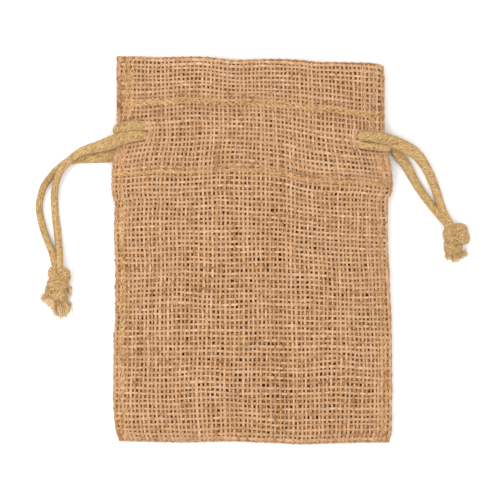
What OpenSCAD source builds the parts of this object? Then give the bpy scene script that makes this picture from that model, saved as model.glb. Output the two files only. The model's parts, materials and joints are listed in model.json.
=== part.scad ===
// Drawstring gift pouch in open jute cloth, lying on its back with the mouth towards +Y.
// Origin: middle of the pouch, on the surface that it lies on. +Z points up out of the front.

/* [Pouch] */
// Width of the pouch at the foot of the casing
pouch_w = 130; // [129:0.5:131]
// Height of the pouch from the bottom fold to the mouth
pouch_h = 180; // [178:1:182]
// Thickness of one layer of cloth
cloth_t = 0.8; // [0.6:0.05:0.9]
// Width of the seam allowance inside each side
seam_w = 8; // [6:0.5:9]
// Diameter of a sewing thread's row of stitches
thread_d = 0.6; // [0.4:0.05:0.8]

/* [Header and casing] */
// Row of the casing's upper stitch line
upper_row = 67; // [66:0.5:68]
// Row of the casing's lower stitch line
lower_row = 34; // [33:0.5:35]
// Row where the turned-in hem ends below the casing
hem_row = 24; // [22:1:26]
// Height that the cords give each casing
casing_rise = 4; // [3.8:0.1:4.2]
// Drop of the casing's stitch lines at the right side
casing_drop = 5; // [4:0.5:5.5]

/* [Drawcords] */
// Diameter of a drawcord
cord_d = 3.4; // [3:0.1:3.4]
// Half of the width of the left cord's knot
left_knot_r = 5.4; // [5:0.1:6]
// Half of the width of the right cord's knot
right_knot_r = 6.3; // [5.5:0.1:6.5]

/* [Hidden] */
$fn = 48;

jute = [0.78, 0.61, 0.44];
hem_jute = [0.70, 0.53, 0.37];
thread_colour = [0.88, 0.66, 0.38];
cord_colour = [0.80, 0.67, 0.43];

top_y = pouch_h / 2;
fold_y = -top_y;
fold_r = 1.8;                     // outer radius of the bottom fold
panel_foot = -86;                 // where the fold's straight lips end
cord_gap = 0.3;                   // clearance between the cord pieces on different bodies

// Columns run from side to side as parts of the half width, rows from the fold to the mouth.
// The holes for the cords lie between hole_in and hole_out, and between two of the rows.
hole_in = 0.744;
hole_out = 0.866;
hole_rows = [49.4, 59.6];
half_cols = [0.12, 0.24, 0.36, 0.48, 0.6, 0.69, hole_in, 0.805, hole_out, 0.93, 0.97, 1];
cols = concat([for (i = [len(half_cols) - 1 : -1 : 0]) -half_cols[i]], [0], half_cols);
fold_rows = [fold_y, -88.5, panel_foot];
body_rows = [panel_foot, -82, -74, -62, -48, -34, -20, -6, 6, 15, hem_row - 0.1];
hem_rows = [
    hem_row, 29, lower_row, 37, 39.5, 42, 45.8, hole_rows[0], 54.2, hole_rows[1], 61, 62.5, 65,
    upper_row, 72, 78, 84, top_y
];

// 1 where the cords fill the casing, 0 in the header and in the body
function casing(y) = lookup(y, [[37, 0], [42, 1], [60, 1], [65, 0]]);
// half width of the pouch at a row
function half_w(y) = pouch_w / 130 * lookup(y, [
    [-90, 60], [-88.5, 62.6], [-86, 64], [-50, 64.6], [-14, 63.4], [18, 63.6], [23.9, 64.4],
    [27, 65], [38, 64.6], [43, 61.5], [45.8, 60.2], [59, 60.2], [62.5, 61.5], [66, 62.3], [90, 62.2]
]);
// how far a row drops on the right-hand side
function drop(y) = lookup(y, [[-20, 0], [lower_row, casing_drop], [upper_row, casing_drop], [90, 2.5]]);
function row_y(u, y) = y - drop(y) * max(0, u);

// height of the front's outer face along the middle, and along the side seams
function front_mid(y) = lookup(y, [
    [-86, 3.6], [-82, 4.8], [-74, 6], [-62, 7.2], [-40, 8.2], [-10, 9.2], [15, 10.4], [30, 11.6],
    [37, 11.8], [65, 11.8], [upper_row, 11.2], [80, 9], [90, 8]
]);
function rim(y) = lookup(y, [[15, 3.6], [23.9, 5]]) + 2.8 * casing(y);
// share of the full height at column u: a broad crown that falls to a flat rim
function crown(u) = abs(u) >= 0.97 ? 0 : 1 - pow(abs(u) / 0.97, 6);
// over the cords the crown stays level as far as the holes and steps down outside them
function shoulder(u) = lookup(abs(u), [[hole_in, 15.3], [hole_out, 10], [0.93, 9.2], [0.97, 7.8]]);
function front_top(u, y) =
    (1 - casing(y)) * (rim(y) + (front_mid(y) - rim(y)) * crown(u)) + casing(y) * shoulder(u);
// the front's inner layer spans the casing without following the cords
function front_hem_top(u, y) = min(front_top(u, y) - cloth_t, 10.5);
// the back's outer layer lies flat, and lifts over the cords outside the holes
function back_foot(u, y) =
    casing(y) * lookup(abs(u), [[hole_in, 0], [hole_out, casing_rise], [1, casing_rise]]);
function back_hem_foot(y) = cloth_t + casing_rise * casing(y);
function seam_foot(y) = y < hem_row ? cloth_t : back_hem_foot(y) + cloth_t;
function seam_top(y) = rim(y) - (y < hem_row ? 1 : 2) * cloth_t;

function in_hole(u1, u2, y1, y2) =
    abs(u1 + u2) / 2 > hole_in && abs(u1 + u2) / 2 < hole_out
    && y1 >= hole_rows[0] && y2 <= hole_rows[1];

// A sheet with thickness: two grids of points, low and high, over the same rows and columns.
// Cells where open[j][i] is true are left out, and walls close every edge that this leaves.
module sheet(low, high, open) {
    rows = len(low);
    wide = len(low[0]);
    size = rows * wide;
    function solid(j, i) = j >= 0 && i >= 0 && j < rows - 1 && i < wide - 1 && !open[j][i];
    function at(j, i, up) = up * size + j * wide + i;
    function wall(a, b) = [[a, b, b + size], [a, b + size, a + size]];
    faces = [for (j = [0 : rows - 2]) for (i = [0 : wide - 2]) if (solid(j, i)) each concat(
        [[at(j, i, 0), at(j, i + 1, 0), at(j + 1, i + 1, 0)]],
        [[at(j, i, 0), at(j + 1, i + 1, 0), at(j + 1, i, 0)]],
        [[at(j, i, 1), at(j + 1, i + 1, 1), at(j, i + 1, 1)]],
        [[at(j, i, 1), at(j + 1, i, 1), at(j + 1, i + 1, 1)]],
        solid(j - 1, i) ? [] : wall(at(j, i + 1, 0), at(j, i, 0)),
        solid(j + 1, i) ? [] : wall(at(j + 1, i, 0), at(j + 1, i + 1, 0)),
        solid(j, i - 1) ? [] : wall(at(j, i, 0), at(j + 1, i, 0)),
        solid(j, i + 1) ? [] : wall(at(j + 1, i + 1, 0), at(j, i + 1, 0))
    )];
    polyhedron(concat([for (r = low) each r], [for (r = high) each r]), faces);
}
function closed(rows, us) = [for (j = rows) [for (i = us) false]];
function holed(rows, us) = [for (j = [0 : len(rows) - 2]) [for (i = [0 : len(us) - 2])
    in_hole(us[i], us[i + 1], rows[j], rows[j + 1])]];

// A tube of a given radius along a list of points, with flat ends and 8 sides
module tube(points, r, sides = 8) {
    n = len(points);
    function unit(v) = v / norm(v);
    function along(k) = unit(points[min(k + 1, n - 1)] - points[max(k - 1, 0)]);
    function ring(k) = let (t = along(k), a = unit(cross(t, abs(t[2]) > 0.8 ? [0, 1, 0] : [0, 0, 1])),
        b = cross(t, a)) [for (s = [0 : sides - 1]) let (q = 360 * (s + 0.5) / sides)
            points[k] + r / cos(180 / sides) * (a * cos(q) + b * sin(q)) * 0.96];
    polyhedron(
        [for (k = [0 : n - 1]) each ring(k)],
        concat(
            [[for (s = [0 : sides - 1]) s]],
            [[for (s = [sides - 1 : -1 : 0]) (n - 1) * sides + s]],
            [for (k = [0 : n - 2]) for (s = [0 : sides - 1]) let (e = (s + 1) % sides, k0 = k * sides,
                k1 = k0 + sides) each [[k0 + s, k1 + s, k1 + e], [k0 + s, k1 + e, k0 + e]]]
        )
    );
}

// Routes of the drawcords. Each cord runs through both casings, round the opposite side of the
// pouch, and comes out of the front and the back of its own side into the knot.
left_front_run = [[44, 48.9, 12.6], [0, 50.8, 12.6], [-44, 52.9, 12.6]];
left_front_exit = [
    [-50, 52.9, 12.3], [-56, 52.5, 11.3], [-61, 51.4, 9.9], [-66, 49.7, 8.8], [-71, 48.1, 7.8],
    [-76, 46.9, 6.9]
];
left_front_tail = [
    [-76, 46.9, 6.9], [-80, 45.3, 6.3], [-83, 43.2, 5.9], [-85.5, 41, 5.6], [-87.8, 38.5, 5.3],
    [-89.5, 35.9, 4.9], [-90.6, 33.1, 4.3], [-91.5, 30, 3.4], [-92, 25, 2.3], [-91.9, 20, 1.8],
    [-91.5, 15, 1.8], [-90.8, 10, 1.9], [-90.3, 5, 2.3], [-89.8, 0, 3.2], [-89.5, -5, 4.2],
    [-89.4, -10, 4.8]
];
left_back_run = [[44, 49, 2.6], [0, 50.5, 2.6], [-44, 52, 2.6]];
left_back_exit = [
    [-52, 50.9, 1.8], [-58, 47.6, 1.8], [-64.6, 44.1, 1.8], [-70, 43.4, 1.8], [-76, 42.9, 1.8]
];
left_back_tail = [
    [-76, 42.9, 1.8], [-82, 42.2, 1.8], [-86.5, 40.8, 1.8], [-91.2, 37.2, 1.8], [-94.3, 33.6, 1.8],
    [-96.8, 30, 1.8], [-98.5, 25, 1.8], [-99.2, 20, 1.8], [-98.6, 15, 1.8], [-97.3, 10, 1.8],
    [-95.6, 5, 2], [-93.5, 0, 2.8], [-92, -5, 4], [-91, -10, 4.8]
];
left_far = [
    [44, 48.9, 12.6], [50, 48.4, 12.3], [56, 47.9, 11.3], [60.2, 47.5, 10], [62.7, 47.3, 8.2],
    [63, 47.2, 5.9], [62.7, 47.3, 3.6], [60.2, 47.8, 1.9], [52, 48.7, 1.8], [44, 49, 2.6]
];
right_front_run = [[-44, 57, 12.6], [0, 55, 12.6], [44, 53, 12.6]];
right_front_exit = [
    [50, 52.7, 12.3], [56, 52.3, 11.3], [61, 51.5, 10.1], [65, 50.3, 9.2], [70, 48.2, 8.2],
    [74, 46.1, 7.4]
];
right_front_tail = [
    [74, 46.1, 7.4], [76.4, 44.3, 6.8], [78.4, 42.1, 6], [80.9, 38.5, 4.9], [83.1, 34.3, 3.6],
    [85, 29.7, 2.5], [86.7, 24.8, 2.1], [88.2, 20, 2.4], [89.9, 15.8, 3.6],
    [91.6, 12.6, 4.6], [92.9, 10, 5]
];
right_back_run = [[-44, 56.4, 2.6], [0, 54.6, 2.6], [44, 52.8, 2.6]];
right_back_exit = [
    [52, 52.6, 1.8], [60, 51.9, 1.8], [64.2, 50.3, 1.8], [66.6, 47.5, 1.8], [67.8, 45, 1.8],
    [69.3, 43, 1.8]
];
right_back_tail = [
    [69.3, 43, 1.8], [71.2, 40.4, 1.8], [72.5, 38.4, 1.8], [73.9, 35.7, 1.8], [76.5, 31, 1.8],
    [79.2, 26.8, 1.8], [81.8, 23.2, 1.8], [84.2, 19.9, 2], [86.6, 17, 2.8], [89, 14, 4],
    [91, 11.6, 4.8], [92.2, 9.8, 5]
];
right_far = [
    [-44, 57, 12.6], [-50, 57.4, 12.3], [-56, 57.4, 11.3], [-60.2, 56.7, 10], [-62.6, 55.9, 8.2],
    [-63, 55.6, 5.9], [-62.7, 55.6, 3.6], [-60.2, 56, 1.9], [-52, 56.3, 1.8], [-44, 56.4, 2.6]
];

// moves a route's first point a little way towards its second, to leave a clearance there
function set_back(route, gap) = let (step = route[1] - route[0])
    [for (k = [0 : len(route) - 1]) k == 0 ? route[0] + step / norm(step) * gap : route[k]];
function reversed(route) = [for (k = [len(route) - 1 : -1 : 0]) route[k]];
module drawcord(route) color(cord_colour) tube(set_back(route, cord_gap), cord_d / 2);

module panel_rows(rows, foot, top, holes) {
    low = [for (y = rows) [for (u = cols) [u * half_w(y), row_y(u, y), foot(u, y)]]];
    high = [for (y = rows) [for (u = cols) [u * half_w(y), row_y(u, y), top(u, y)]]];
    sheet(low, high, holes ? holed(rows, cols) : closed(rows, cols));
}

module front_panel() color(jute) panel_rows(concat(body_rows, hem_rows),
    function (u, y) front_top(u, y) - cloth_t, function (u, y) front_top(u, y), true);

// the flat part of the back, as one exact slab, and the casing and header above it
module back_panel() color(jute) {
    linear_extrude(cloth_t) polygon(concat(
        [for (y = body_rows) [-half_w(y), y]],
        [for (u = cols) [u * half_w(hem_row), row_y(u, hem_row)]],
        [for (y = reversed(body_rows)) [half_w(y), row_y(1, y)]]
    ));
    panel_rows(hem_rows, function (u, y) back_foot(u, y), function (u, y) back_foot(u, y) + cloth_t, true);
}

module bottom_fold() color(jute) intersection() {
    rotate([90, 0, 90]) linear_extrude(pouch_w, center = true) difference() {
        fold_outline(fold_r);
        fold_outline(fold_r - cloth_t);
    }
    linear_extrude(2 * fold_r) polygon(concat(
        [for (y = fold_rows) [-half_w(y), y]],
        [for (y = reversed(fold_rows)) [half_w(y), y]]
    ));
}
module fold_outline(r) {
    translate([fold_y + fold_r, fold_r]) circle(r);
    translate([fold_y + fold_r, fold_r - r]) square([panel_foot - fold_y - fold_r, 2 * r]);
}

module front_hem() color(hem_jute) panel_rows(hem_rows,
    function (u, y) front_hem_top(u, y) - cloth_t, function (u, y) front_hem_top(u, y), false);
module back_hem() color(hem_jute) panel_rows(hem_rows,
    function (u, y) back_hem_foot(y), function (u, y) back_hem_foot(y) + cloth_t, false);

// folded edges of the cloth inside a side seam; side is -1 on the left and 1 on the right
function seam_edge(side, y, part) = let (u = side * (1 - seam_w * part / half_w(y)))
    [u * half_w(y), row_y(u, y)];
module seam_allowance(side) {
    rows = concat(body_rows, hem_rows);
    parts = side < 0 ? [0, 0.25, 1] : [1, 0.25, 0];
    low = [for (y = rows) [for (p = parts) concat(seam_edge(side, y, p), seam_foot(y))]];
    high = [for (y = rows) [for (p = parts) concat(seam_edge(side, y, p), seam_top(y))]];
    color(hem_jute) sheet(low, high, closed(rows, parts));
}
module left_seam_allowance() seam_allowance(-1);
module right_seam_allowance() seam_allowance(1);

// a row of stitches as far across as reach, resting on the face whose height the function gives
module cross_stitch(y, reach, face) color(thread_colour)
    tube([for (u = cols) if (abs(u) < reach) [u * half_w(y), row_y(u, y), face(u, y) + thread_d * 0.6]],
        thread_d / 2, 6);
module front_upper_stitch() cross_stitch(upper_row, 0.97, function (u, y) front_top(u, y));
module front_lower_stitch() cross_stitch(lower_row, 0.97, function (u, y) front_top(u, y));
module back_upper_stitch() cross_stitch(upper_row, 0.85, function (u, y) back_hem_foot(y) + cloth_t);
module back_lower_stitch() cross_stitch(lower_row, 0.85, function (u, y) back_hem_foot(y) + cloth_t);

// the seam's thread runs along the seam allowance, on its upper face
module seam_thread(side) color(thread_colour)
    tube([for (y = concat(body_rows, hem_rows)) if (y > -75 && abs(y - hem_row) > 0.05)
        concat(seam_edge(side, y, 0.8), seam_top(y) + thread_d * 0.6)], thread_d / 2, 6);
module left_seam_thread() seam_thread(-1);
module right_seam_thread() seam_thread(1);

// runs in both casings and the strands that leave them, as far as the start of the tail
module left_casing_cord() {
    drawcord(concat(left_front_run, left_front_exit));
    drawcord(concat(left_back_run, left_back_exit));
}
module right_casing_cord() {
    drawcord(concat(right_front_run, right_front_exit));
    drawcord(concat(right_back_run, right_back_exit));
}
module left_far_loop() color(cord_colour) tube(left_far, cord_d / 2);
module right_far_loop() color(cord_colour) tube(right_far, cord_d / 2);
module left_tail() {
    drawcord(left_front_tail);
    drawcord(left_back_tail);
}
module right_tail() {
    drawcord(right_front_tail);
    drawcord(right_back_tail);
}

// overhand knot: its upper and lower turns, both resting on the surface
module turn(x, y, size) translate([x, y, size[2]]) scale(size) sphere(1);
module left_knot() color(cord_colour) {
    turn(-89.8, -11.6, [left_knot_r, 4.4, 4.4]);
    turn(-91.2, -17.8, [4.9, 4.4, 4]);
}
module right_knot() color(cord_colour) {
    turn(95, 7.2, [right_knot_r, 5.1, 4.8]);
    turn(93.3, 1.2, [4.4, 3.2, 3.4]);
}

// frayed ends below a knot, as one closed skirt
module tassel(x, y, length, r_top, r_end) color(cord_colour)
    translate([x, y, r_end]) rotate([90, 0, 0]) cylinder(h = length, r1 = r_top, r2 = r_end);
module left_tassel() tassel(-91.3, -20, 11, 4, 4.8);
module right_tassel() tassel(93.5, 0, 5.2, 3, 3.6);

front_panel();
back_panel();
bottom_fold();
front_hem();
back_hem();
left_seam_allowance();
right_seam_allowance();
front_upper_stitch();
front_lower_stitch();
back_upper_stitch();
back_lower_stitch();
left_seam_thread();
right_seam_thread();
left_casing_cord();
left_far_loop();
left_tail();
left_knot();
left_tassel();
right_casing_cord();
right_far_loop();
right_tail();
right_knot();
right_tassel();
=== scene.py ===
"""Drawstring gift pouch: jute cloth woven yarn by yarn, stitched, with two knotted drawcords."""

import json
import math

import bpy
import numpy as np
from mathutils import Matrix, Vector


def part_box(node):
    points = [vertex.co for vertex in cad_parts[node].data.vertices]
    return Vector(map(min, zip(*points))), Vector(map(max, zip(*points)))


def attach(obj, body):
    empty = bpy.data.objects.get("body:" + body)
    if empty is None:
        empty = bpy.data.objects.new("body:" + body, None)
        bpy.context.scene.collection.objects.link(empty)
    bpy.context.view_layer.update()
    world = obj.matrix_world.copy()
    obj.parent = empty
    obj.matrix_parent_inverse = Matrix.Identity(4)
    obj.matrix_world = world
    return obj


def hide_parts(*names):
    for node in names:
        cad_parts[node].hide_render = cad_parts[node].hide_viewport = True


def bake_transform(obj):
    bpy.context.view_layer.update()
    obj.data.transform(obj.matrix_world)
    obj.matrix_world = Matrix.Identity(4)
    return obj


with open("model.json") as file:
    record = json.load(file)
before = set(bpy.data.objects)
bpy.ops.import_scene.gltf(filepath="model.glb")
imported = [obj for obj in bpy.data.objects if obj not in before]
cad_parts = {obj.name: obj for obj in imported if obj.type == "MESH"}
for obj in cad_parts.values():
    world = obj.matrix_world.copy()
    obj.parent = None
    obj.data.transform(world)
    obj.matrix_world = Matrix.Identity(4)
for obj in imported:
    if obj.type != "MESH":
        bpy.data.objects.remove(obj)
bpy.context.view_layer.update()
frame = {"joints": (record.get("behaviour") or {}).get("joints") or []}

MM = 0.001
RNG = np.random.default_rng(11)

# ---------------------------------------------------------------- sizes, in millimetres

TOP_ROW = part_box("front_panel")[1][1] / MM  # the mouth
WARP_W, WEFT_W = 1.2, 1.34  # yarn widths
YARN_T = 0.66  # yarn thickness
CRIMP = 0.29  # how far a yarn rises and dips at a crossing
LAYER = 1.15  # distance between two layers of cloth that touch
BACK_Z = 0.68  # middle of the back's outer layer, above the floor
HALF_COLUMNS = 32  # warp yarns from the middle to a side edge
HALF_WIDTH = 62  # nominal, from the middle to where the cloth turns in at a side
CURL_ARCS = (0.1, 1.4, 2.7, 4.1)  # places of the warp yarns beyond a side edge, along the cloth
HEM_ROW = 24
MOUTH_INSET = 1.5  # from the mouth down to its last whole row
FOOT_ROW = -87.9  # the last row above the bottom fold
MOUTH_REACH, FOOT_REACH = 1.1, 1.45  # how far the folds there reach past the last row
LOWER_ROW, UPPER_ROW = 36.5, 67.7  # the casing's stitch lines
SLIT_X = 50.5  # the slits for the cords, as distances from the middle
SLIT_GAP = 2.7  # how far the cords push the yarns beside a slit apart
SLIT_ROWS = {-1: (50.2, 59.4), 1: (46.5, 55.1)}  # by side
SLIT_SWAY = (43, 56)  # the yarns are pushed aside between these distances from the middle
SLIT_HALF = 1.6  # a slit's half width, as a gap in the wefts
SLIT_CUT = 0.4  # the cut wefts keep this far inside the slit's ends
HEM_LIMIT = 0.965  # the hems end this part of the way to the side edges
BACK_OFFSET = 1.05  # how far the back's yarns lie off the front's
CROWD_DARKER = 0.25  # how much darker in tone a yarn would get where crowding doubles its width


def curve(*points):
    """A smooth line through (place, value) points that never overshoots them."""
    x, v = np.array(points, float).T
    slope = np.diff(v) / np.diff(x)
    both = slope[1:] * slope[:-1]
    total = np.where(both > 0, slope[1:] + slope[:-1], 1)
    tangent = np.concatenate([slope[:1], np.where(both > 0, 2 * both / total, 0), slope[-1:]])

    def at(q):
        q = np.clip(q, x[0], x[-1])
        k = np.clip(np.searchsorted(x, q) - 1, 0, len(x) - 2)
        h = x[k + 1] - x[k]
        t = (q - x[k]) / h
        start, end = 2 * t**3 - 3 * t**2 + 1, 3 * t**2 - 2 * t**3
        lead, follow = (t**3 - 2 * t**2 + t) * h, (t**3 - t**2) * h
        return start * v[k] + end * v[k + 1] + lead * tangent[k] + follow * tangent[k + 1]

    return at


# ---------------------------------------------------------------- shape of the pouch

left_edge = curve(
    (-90, 58.6), (-88, 61.4), (-86, 62.6), (-80, 63.4), (-70, 64), (-45, 64), (-30, 63.3),
    (-12, 63.2), (0, 63.5), (12, 63.6), (22.5, 63.4), (25, 64.5), (30, 65), (37, 64.8),
    (43, 64.1), (49, 62.2), (56, 61.6), (61, 62.5), (70, 62.5), (84, 62.6), (90, 62.4),
)
right_edge = curve(
    (-90, 61.6), (-88, 63.4), (-84, 64.5), (-66, 64.7), (-32, 64.4), (-20, 63.9), (-6, 63.1),
    (6, 62.7), (25, 62.7), (30.2, 63), (32, 64.5), (35, 65), (40, 64.6), (46, 64), (50, 63),
    (55, 61.8), (60, 61.2), (66, 61.1), (84, 61.2), (88, 60.9), (90, 60.3),
)
lower_drop = curve(
    (-62, -0.9), (-28, 0.7), (0, 0.6), (13, -0.5), (23, -2.6), (37, -4.2), (47, -5.2), (62, -6.2)
)
upper_drop = curve((-62, -0.3), (-21, 0.7), (0, -0.2), (18, -0.7), (32, -3), (54, -5.2), (62, -5.6))
mouth_drop = curve((-52, 0), (-43, -0.4), (-24, -0.5), (-6, -1.7), (4, -1.4), (13, -1.4), (22, -1.8),
                   (32, -2.8), (50, -2.8), (57, -3.1), (60, -3.9), (62, -5.6))
foot_drop = curve((-61, 0.8), (-52, 0.5), (-35, 0.1), (-10, 0.5), (4, 0), (13, -0.4), (22, -0.8),
                  (36, -0.4), (55, 0))
drop_shares = [
    (lower_drop, curve((-62, 0), (-20, 0.25), (10, 0.62), (36.5, 1), (67.7, 0))),
    (upper_drop, curve((36.5, 0), (67.7, 1), (90, 0))),
    (mouth_drop, curve((67.7, 0), (90, 1))),
    (foot_drop, curve((-88, 1), (-70, 0))),
]
casing = curve((36.5, 0), (42.5, 1), (60, 1), (66.5, 0))
front_middle = curve(
    (-88, 3.4), (-82, 4.6), (-74, 5.8), (-62, 7), (-40, 8), (-10, 9), (15, 10.2), (32, 11.2),
    (37, 11.3), (66, 11.3), (69, 10.6), (80, 8.7), (90, 7.6),
)
front_rim = curve((-88, 3.4), (-80, 4.2), (0, 4.3), (30, 5.6), (36.5, 5.8), (43, 7.3), (60, 7.3),
                  (66.5, 5.8), (90, 5.6))
curl_radius = curve((-88, 0.55), (16, 0.55), (26, 1.1), (90, 1.1))
spread = curve((-90, 0.06), (20, 0.045), (45, 0), (90, -0.01))
gentle_shoulder = curve((0, 14.9), (43, 14.9), (50, 13), (53, 10.4), (57, 8.8), (60, 7.6), (66, 7.3))
slit_shoulder = curve((0, 15.1), (47.6, 15), (48.6, 14.7), (50.6, 9.9), (56, 8.6), (60, 7.6), (66, 7.3))
back_lift = curve((0, 0), (43, 0), (52, 4.2), (66, 4.2))
row_pitch = curve((-90, 2.43), (-20, 2.43), (0, 2.36), (25, 2.3), (50, 2.27), (70, 2.14), (90, 2.1))


def waves(count, shortest, longest, size):
    """A gently rolling random field over the plane, as a function of x and y."""
    angle = RNG.uniform(0, math.pi, count)
    number = 2 * math.pi / RNG.uniform(shortest, longest, count)
    phase = RNG.uniform(0, 2 * math.pi, count)

    def at(x, y):
        total = sum(
            np.sin(n * (x * math.cos(a) + y * math.sin(a)) + p)
            for n, a, p in zip(number, angle, phase)
        )
        return total * size / math.sqrt(count / 2)

    return at


sway_x = waves(9, 22, 60, 0.26)
sway_y = waves(9, 22, 60, 0.24)
swell = waves(8, 26, 64, 0.28)


def side_width(side, y):
    """From the middle to the pouch's left edge (side below 0) or right edge."""
    return np.where(side < 0, left_edge(y), right_edge(y))


def drop(x, y):
    """How far the rows sag or rise off level, handed on from one guiding line to the next."""
    return sum(line(x) * share(y) for line, share in drop_shares)


def near_slit(x, y):
    """1 in the rows of the nearer slit and 0 just above and below them."""
    low = np.where(x < 0, SLIT_ROWS[-1][0], SLIT_ROWS[1][0])
    high = np.where(x < 0, SLIT_ROWS[-1][1], SLIT_ROWS[1][1])
    away = np.abs(y - (low + high) / 2) / (high - low) * 2
    return np.sqrt(np.clip(1 - (away / 1.12) ** 2, 0, 1))


def round_slit(x, y):
    """Where x comes to once the cords have pushed the yarns beside a slit apart."""
    out, near = np.abs(x), near_slit(x, y)
    first, last = SLIT_SWAY
    inner = (out > first) & (out <= SLIT_X)
    outer = (out > SLIT_X) & (out < last)
    out = np.where(inner, out - near * SLIT_GAP * ((out - first) / (SLIT_X - first)) ** 2, out)
    out = np.where(outer, out + near * SLIT_GAP * ((last - out) / (last - SLIT_X)) ** 2, out)
    return np.sign(x) * out


def front_height(x, row, y):
    """Middle of the front's outer layer."""
    wide = side_width(np.sign(x), row)
    part = np.clip(np.abs(x) / wide, 0, 1)
    crown = 1 - (part / 0.97).clip(0, 1) ** 6
    plain = front_rim(row) + (front_middle(row) - front_rim(row)) * crown
    # the right-hand slit lies lower than the left one, so the shoulders follow their own rows
    near = near_slit(x, y)
    over_cords = (1 - near) * gentle_shoulder(np.abs(x)) + near * slit_shoulder(np.abs(x))
    full = casing(row)
    quiet = 1 - 0.8 * full
    return (1 - full) * plain + full * over_cords + swell(x, y) * crown * quiet


def front_hem_height(x, row, y):
    return np.minimum(front_height(x, row, y) - LAYER, 10.2)


def back_height(x, row, y):
    return BACK_Z + casing(row) * back_lift(np.abs(x))


def back_hem_height(x, row, y):
    return BACK_Z + LAYER + 4.1 * casing(row)


HEIGHTS = {
    "front": front_height,
    "front_hem": front_hem_height,
    "back": back_height,
    "back_hem": back_hem_height,
}


def cloth_point(layer, part, row):
    """The middle of a layer of cloth, where part is how far across (1 at a side's fold, more where
    the cloth turns in round it) and row how far up. Works on arrays that match."""
    side = np.where(part < 0, -1, 1)
    far = np.abs(part)
    wide = side_width(side, row)
    radius = curl_radius(row)
    flat = wide - radius
    inner = np.minimum(far, 1)
    x = flat * (inner + spread(row) * (inner - inner**3))
    arc = np.maximum(far - 1, 0) * HALF_WIDTH
    turn = np.minimum(arc / radius, math.pi)
    x = x + radius * np.sin(turn) - np.maximum(arc - math.pi * radius, 0)
    x = side * x
    y = row + drop(x, row)
    if layer in ("front", "back"):
        x = round_slit(x, y)
    z = HEIGHTS[layer](x, row, y)
    inward = 1 if layer.startswith("back") else -1
    z = z + inward * radius * (1 - np.cos(turn))
    calm = np.clip((HALF_WIDTH - np.abs(x)) / 10, 0.15, 1)
    edge = np.clip((TOP_ROW - np.abs(row)) / 8, 0.2, 1)
    offset = BACK_OFFSET * np.clip((row + 88) / 25, 0, 1) if layer.startswith("back") else 0
    x = x + (sway_x(x, y) + offset) * calm
    return np.stack([x, y + (sway_y(x, y) + offset) * edge, z], -1)


# ---------------------------------------------------------------- mesh and material tools


def mesh_object(name, points, faces, smooth=True, **attributes):
    mesh = bpy.data.meshes.new(name)
    mesh.from_pydata((np.asarray(points) * MM).tolist(), [], faces)
    for key, value in attributes.items():
        kind = "FLOAT_VECTOR" if np.ndim(value) == 2 else "FLOAT"
        made = mesh.attributes.new(key, kind, "POINT")
        field = "vector" if kind == "FLOAT_VECTOR" else "value"
        made.data.foreach_set(field, np.ravel(value).astype(np.float32))
    mesh.polygons.foreach_set("use_smooth", [smooth] * len(mesh.polygons))
    mesh.update()
    piece = bpy.data.objects.new(name, mesh)
    bpy.context.scene.collection.objects.link(piece)
    return piece


def unit(v):
    return v / np.maximum(np.linalg.norm(v, axis=-1, keepdims=True), 1e-9)


def rings(line, normal, wide, thick, sides, tone=0.5, twist=0.7, groove=None):
    """The rings of points of a tube of elliptical section along a line, each point's place in its own
    strand in millimetres (along it, and across it as it turns with its twist), and its tone."""
    line = np.asarray(line, float)
    n = len(line)
    along = unit(np.gradient(line, axis=0))
    across = unit(np.cross(along, normal))
    up = np.cross(across, along)
    angle = 2 * math.pi * (np.arange(sides) + 0.5) / sides
    place = np.concatenate([[0], np.cumsum(np.linalg.norm(np.diff(line, axis=0), axis=1))])
    wide = np.broadcast_to(wide, n)[:, None] / 2
    thick = np.broadcast_to(thick, n)[:, None] / 2
    shape = 1 if groove is None else groove(place[:, None], angle[None, :])
    a, b = wide * np.cos(angle) * shape, thick * np.sin(angle) * shape
    ring = line[:, None] + a[..., None] * across[:, None] + b[..., None] * up[:, None]
    turned = angle[None, :] - twist * place[:, None]
    begin = np.broadcast_to((place + RNG.uniform(0, 900))[:, None], (n, sides))
    fibre = np.stack([begin, wide * np.cos(turned), wide * np.sin(turned)], -1)
    return ring, fibre, np.repeat(np.broadcast_to(tone, n), sides).reshape(n, sides)


class Strands:
    """Collects tubes into one mesh, with the attributes "fibre" and "tone" for its material."""

    def __init__(self, sides=6):
        self.sides = sides
        self.points, self.faces, self.fibre, self.tone = [], [], [], []
        self.count = 0

    def add(self, line, normal, wide, thick, **look):
        self.add_rings(*rings(line, normal, wide, thick, self.sides, **look))

    def add_rings(self, ring, fibre, tone):
        n, k = ring.shape[:2]
        ends = [0, n - 1]  # each end has a ring of its own for its cap, so that its rim stays crisp
        for kept, values in ((self.points, ring), (self.fibre, fibre), (self.tone, tone[..., None])):
            kept.append(np.concatenate([values, values[ends]]).reshape((n + 2) * k, -1))
        index = self.count + np.arange((n + 2) * k).reshape(n + 2, k)
        after = np.roll(index, -1, axis=1)
        walls = np.stack([index[:-3], index[1:-2], after[1:-2], after[:-3]], -1)
        self.faces += walls.reshape(-1, 4).tolist()
        self.faces += [index[-2].tolist(), index[-1][::-1].tolist()]
        self.count += (n + 2) * k

    def build(self, name):
        return mesh_object(
            name, np.concatenate(self.points), self.faces,
            fibre=np.concatenate(self.fibre), tone=np.concatenate(self.tone)[:, 0],
        )


def wander(count, reach, size):
    """Smooth random values along a strand, with that reach in points and that spread."""
    reach = max(reach, 0.5)
    span = int(3 * reach) + 1
    kernel = np.exp(-0.5 * (np.arange(-span, span + 1) / reach) ** 2)
    raw = np.convolve(RNG.normal(size=count + 2 * span), kernel, "valid")
    return raw * size / math.sqrt((kernel**2).sum())


def linear(*rgb):
    """A colour given as it looks on a screen, 0 to 255, as Blender's linear numbers."""
    c = np.array(rgb) / 255
    return tuple(np.where(c <= 0.04045, c / 12.92, ((c + 0.055) / 1.055) ** 2.4)) + (1.0,)


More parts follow.
